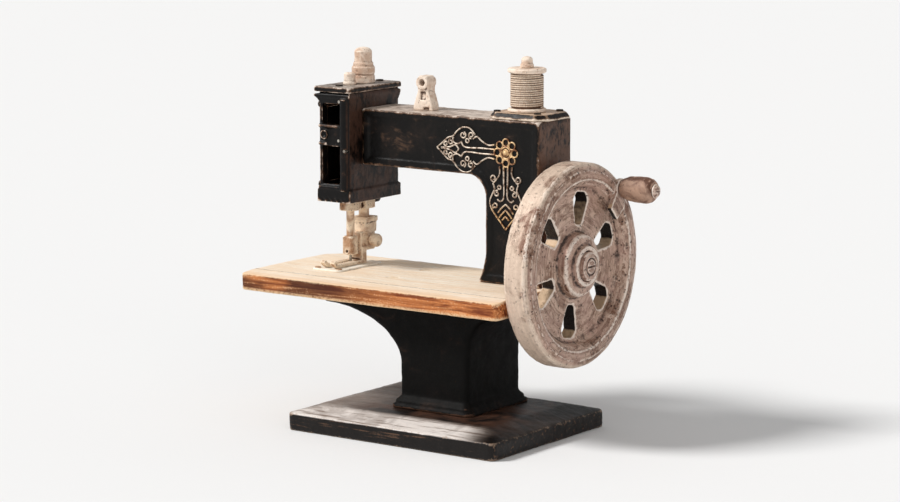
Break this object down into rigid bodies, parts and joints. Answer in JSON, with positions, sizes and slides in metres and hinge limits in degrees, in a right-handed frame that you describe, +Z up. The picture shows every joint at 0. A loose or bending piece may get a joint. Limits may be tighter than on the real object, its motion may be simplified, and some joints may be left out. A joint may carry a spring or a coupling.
{
  "type": "hand-cranked sewing machine",
  "caption": "Miniature hand-cranked sewing machine on a pedestal base, with a spoked crank wheel, arm, needle head, spool and overhanging wooden bed.",
  "frame": {"origin": "centre of the base's underside", "axes": "+Z up, +X from the needle towards the handwheel along the arm, -Y towards the operator"},
  "size_m": [0.1877, 0.1125, 0.1791],
  "materials": {
    "black_enamel": "worn black enamel over cast metal, brown where it is rubbed",
    "cap_enamel": "black enamel rubbed through to pale primer",
    "bed_wood": "pale scrubbed top, orange-brown edge",
    "antique_white": "cream wash over brown in the crevices",
    "wheel_metal": "silver-brown distressed paint, pitted",
    "ornament_metal": "old silver with copper showing",
    "thread": "wound cotton thread",
    "dark_steel": "blackened steel",
    "bright_steel": "turned steel",
    "iron": "as cast",
    "brass": "turned brass"
  },
  "bodies": {
    "stand": {"base_plinth": "black_enamel", "base_bolts": "dark_steel", "pedestal": "black_enamel", "bed_board": "bed_wood", "bed_screws": "dark_steel", "needle_plate": "antique_white", "needle_plate_screws": "dark_steel", "looper_bushes": "brass", "looper_tray": "dark_steel", "arm_casting": "black_enamel", "column_screws": "dark_steel", "column_cap": "cap_enamel", "column_cap_screws": "dark_steel", "rear_cover": "black_enamel", "rear_cover_screws": "dark_steel", "arm_ornament": "ornament_metal", "head_casing": "black_enamel", "head_screws": "dark_steel", "head_cap": "black_enamel", "head_cap_screws": "dark_steel", "face_plate": "black_enamel", "face_plate_screws": "dark_steel", "head_front_screws": "bright_steel", "bar_guide": "antique_white", "needle_bar_cap": "antique_white", "presser_spring": "bright_steel", "lever_pivot": "dark_steel", "idler_stud": "bright_steel", "shaft_bush": "brass", "thread_guide": "antique_white", "guide_screw": "bright_steel", "spool_pin": "antique_white"},
    "wheel": {"handwheel": "wheel_metal", "wheel_screw": "wheel_metal", "crank_plate": "wheel_metal", "crank_stud": "dark_steel", "handle_screw": "wheel_metal", "main_shaft": "bright_steel", "crank_disc": "iron", "shaft_gear": "brass"},
    "handle": {"handle_grip": "wheel_metal"},
    "idler": {"idler_gear": "brass"},
    "looper": {"looper_shaft": "bright_steel", "looper_hook": "bright_steel", "looper_gear": "brass"},
    "needle_lever": {"needle_lever": "iron", "pitman_pin": "bright_steel"},
    "pitman": {"pitman": "iron"},
    "needle_bar": {"needle_bar": "bright_steel", "needle_clamp": "antique_white", "needle": "bright_steel"},
    "presser": {"presser_bar": "bright_steel", "presser_collar": "iron", "presser_foot": "antique_white", "foot_screw": "antique_white"},
    "lifter": {"presser_lifter": "dark_steel"},
    "presser_nut": {"presser_nut": "antique_white"},
    "spool": {"spool": "antique_white", "thread_winding": "thread"},
    "feed_dog": {"feed_dog": "bright_steel"}
  },
  "joints": [
    {"name": "handwheel_spin", "type": "hinge", "parent": "stand", "child": "wheel", "pos_m": [0.0596, 0.0168, 0.0828], "axis": [1, 0, 0], "continuous": true},
    {"name": "handle_spin", "type": "hinge", "parent": "wheel", "child": "handle", "pos_m": [0.0774, 0.0479, 0.11615], "axis": [1, 0, 0], "continuous": true},
    {"name": "idler_spin", "type": "hinge", "parent": "stand", "child": "idler", "pos_m": [0.0326, 0.0168, 0.0738], "axis": [1, 0, 0], "continuous": true},
    {"name": "looper_spin", "type": "hinge", "parent": "stand", "child": "looper", "pos_m": [0, 0.0168, 0.0648], "axis": [1, 0, 0], "continuous": true},
    {"name": "needle_lever_rock", "type": "hinge", "parent": "stand", "child": "needle_lever", "pos_m": [-0.008, 0.0168, 0.137], "axis": [0, 1, 0], "range_deg": [0, 12]},
    {"name": "pitman_swing", "type": "hinge", "parent": "needle_lever", "child": "pitman", "pos_m": [0.02382, 0.0168, 0.14034], "axis": [0, 1, 0], "range_deg": [-12, 0]},
    {"name": "needle_bar_slide", "type": "slide", "parent": "stand", "child": "needle_bar", "axis": [0, 0, 1], "range_m": [0, 0.01204]},
    {"name": "lifter_turn", "type": "hinge", "parent": "stand", "child": "lifter", "pos_m": [-0.0656, 0.038, 0.118], "axis": [0, -1, 0], "range_deg": [0, 90]},
    {"name": "presser_bar_slide", "type": "slide", "parent": "stand", "child": "presser", "axis": [0, 0, 1], "range_m": [0, 0.003], "stiffness_N_per_m": 150, "springref_m": -0.02, "deforming": ["presser_spring"]},
    {"name": "presser_nut_turn", "type": "hinge", "parent": "stand", "child": "presser_nut", "pos_m": [-0.0656, 0.022, 0.17], "axis": [0, 0, 1], "range_deg": [-180, 180]},
    {"name": "spool_spin", "type": "hinge", "parent": "stand", "child": "spool", "pos_m": [0.0325, 0.02, 0.16], "axis": [0, 0, 1], "continuous": true},
    {"name": "feed_dog_slide", "type": "slide", "parent": "stand", "child": "feed_dog", "axis": [0, 1, 0], "range_m": [-0.0012, 0.0012]}
  ],
  "couplings": [
    {"joint": "idler_spin", "follows": "handwheel_spin", "ratio": -1},
    {"joint": "looper_spin", "follows": "handwheel_spin", "ratio": 1},
    {"joint": "needle_lever_rock", "follows": "needle_bar_slide", "rad_per_m": 17.393},
    {"joint": "pitman_swing", "follows": "needle_bar_slide", "rad_per_m": -17.393},
    {"joint": "lifter_turn", "follows": "presser_bar_slide", "rad_per_m": 523.59}
  ]
}
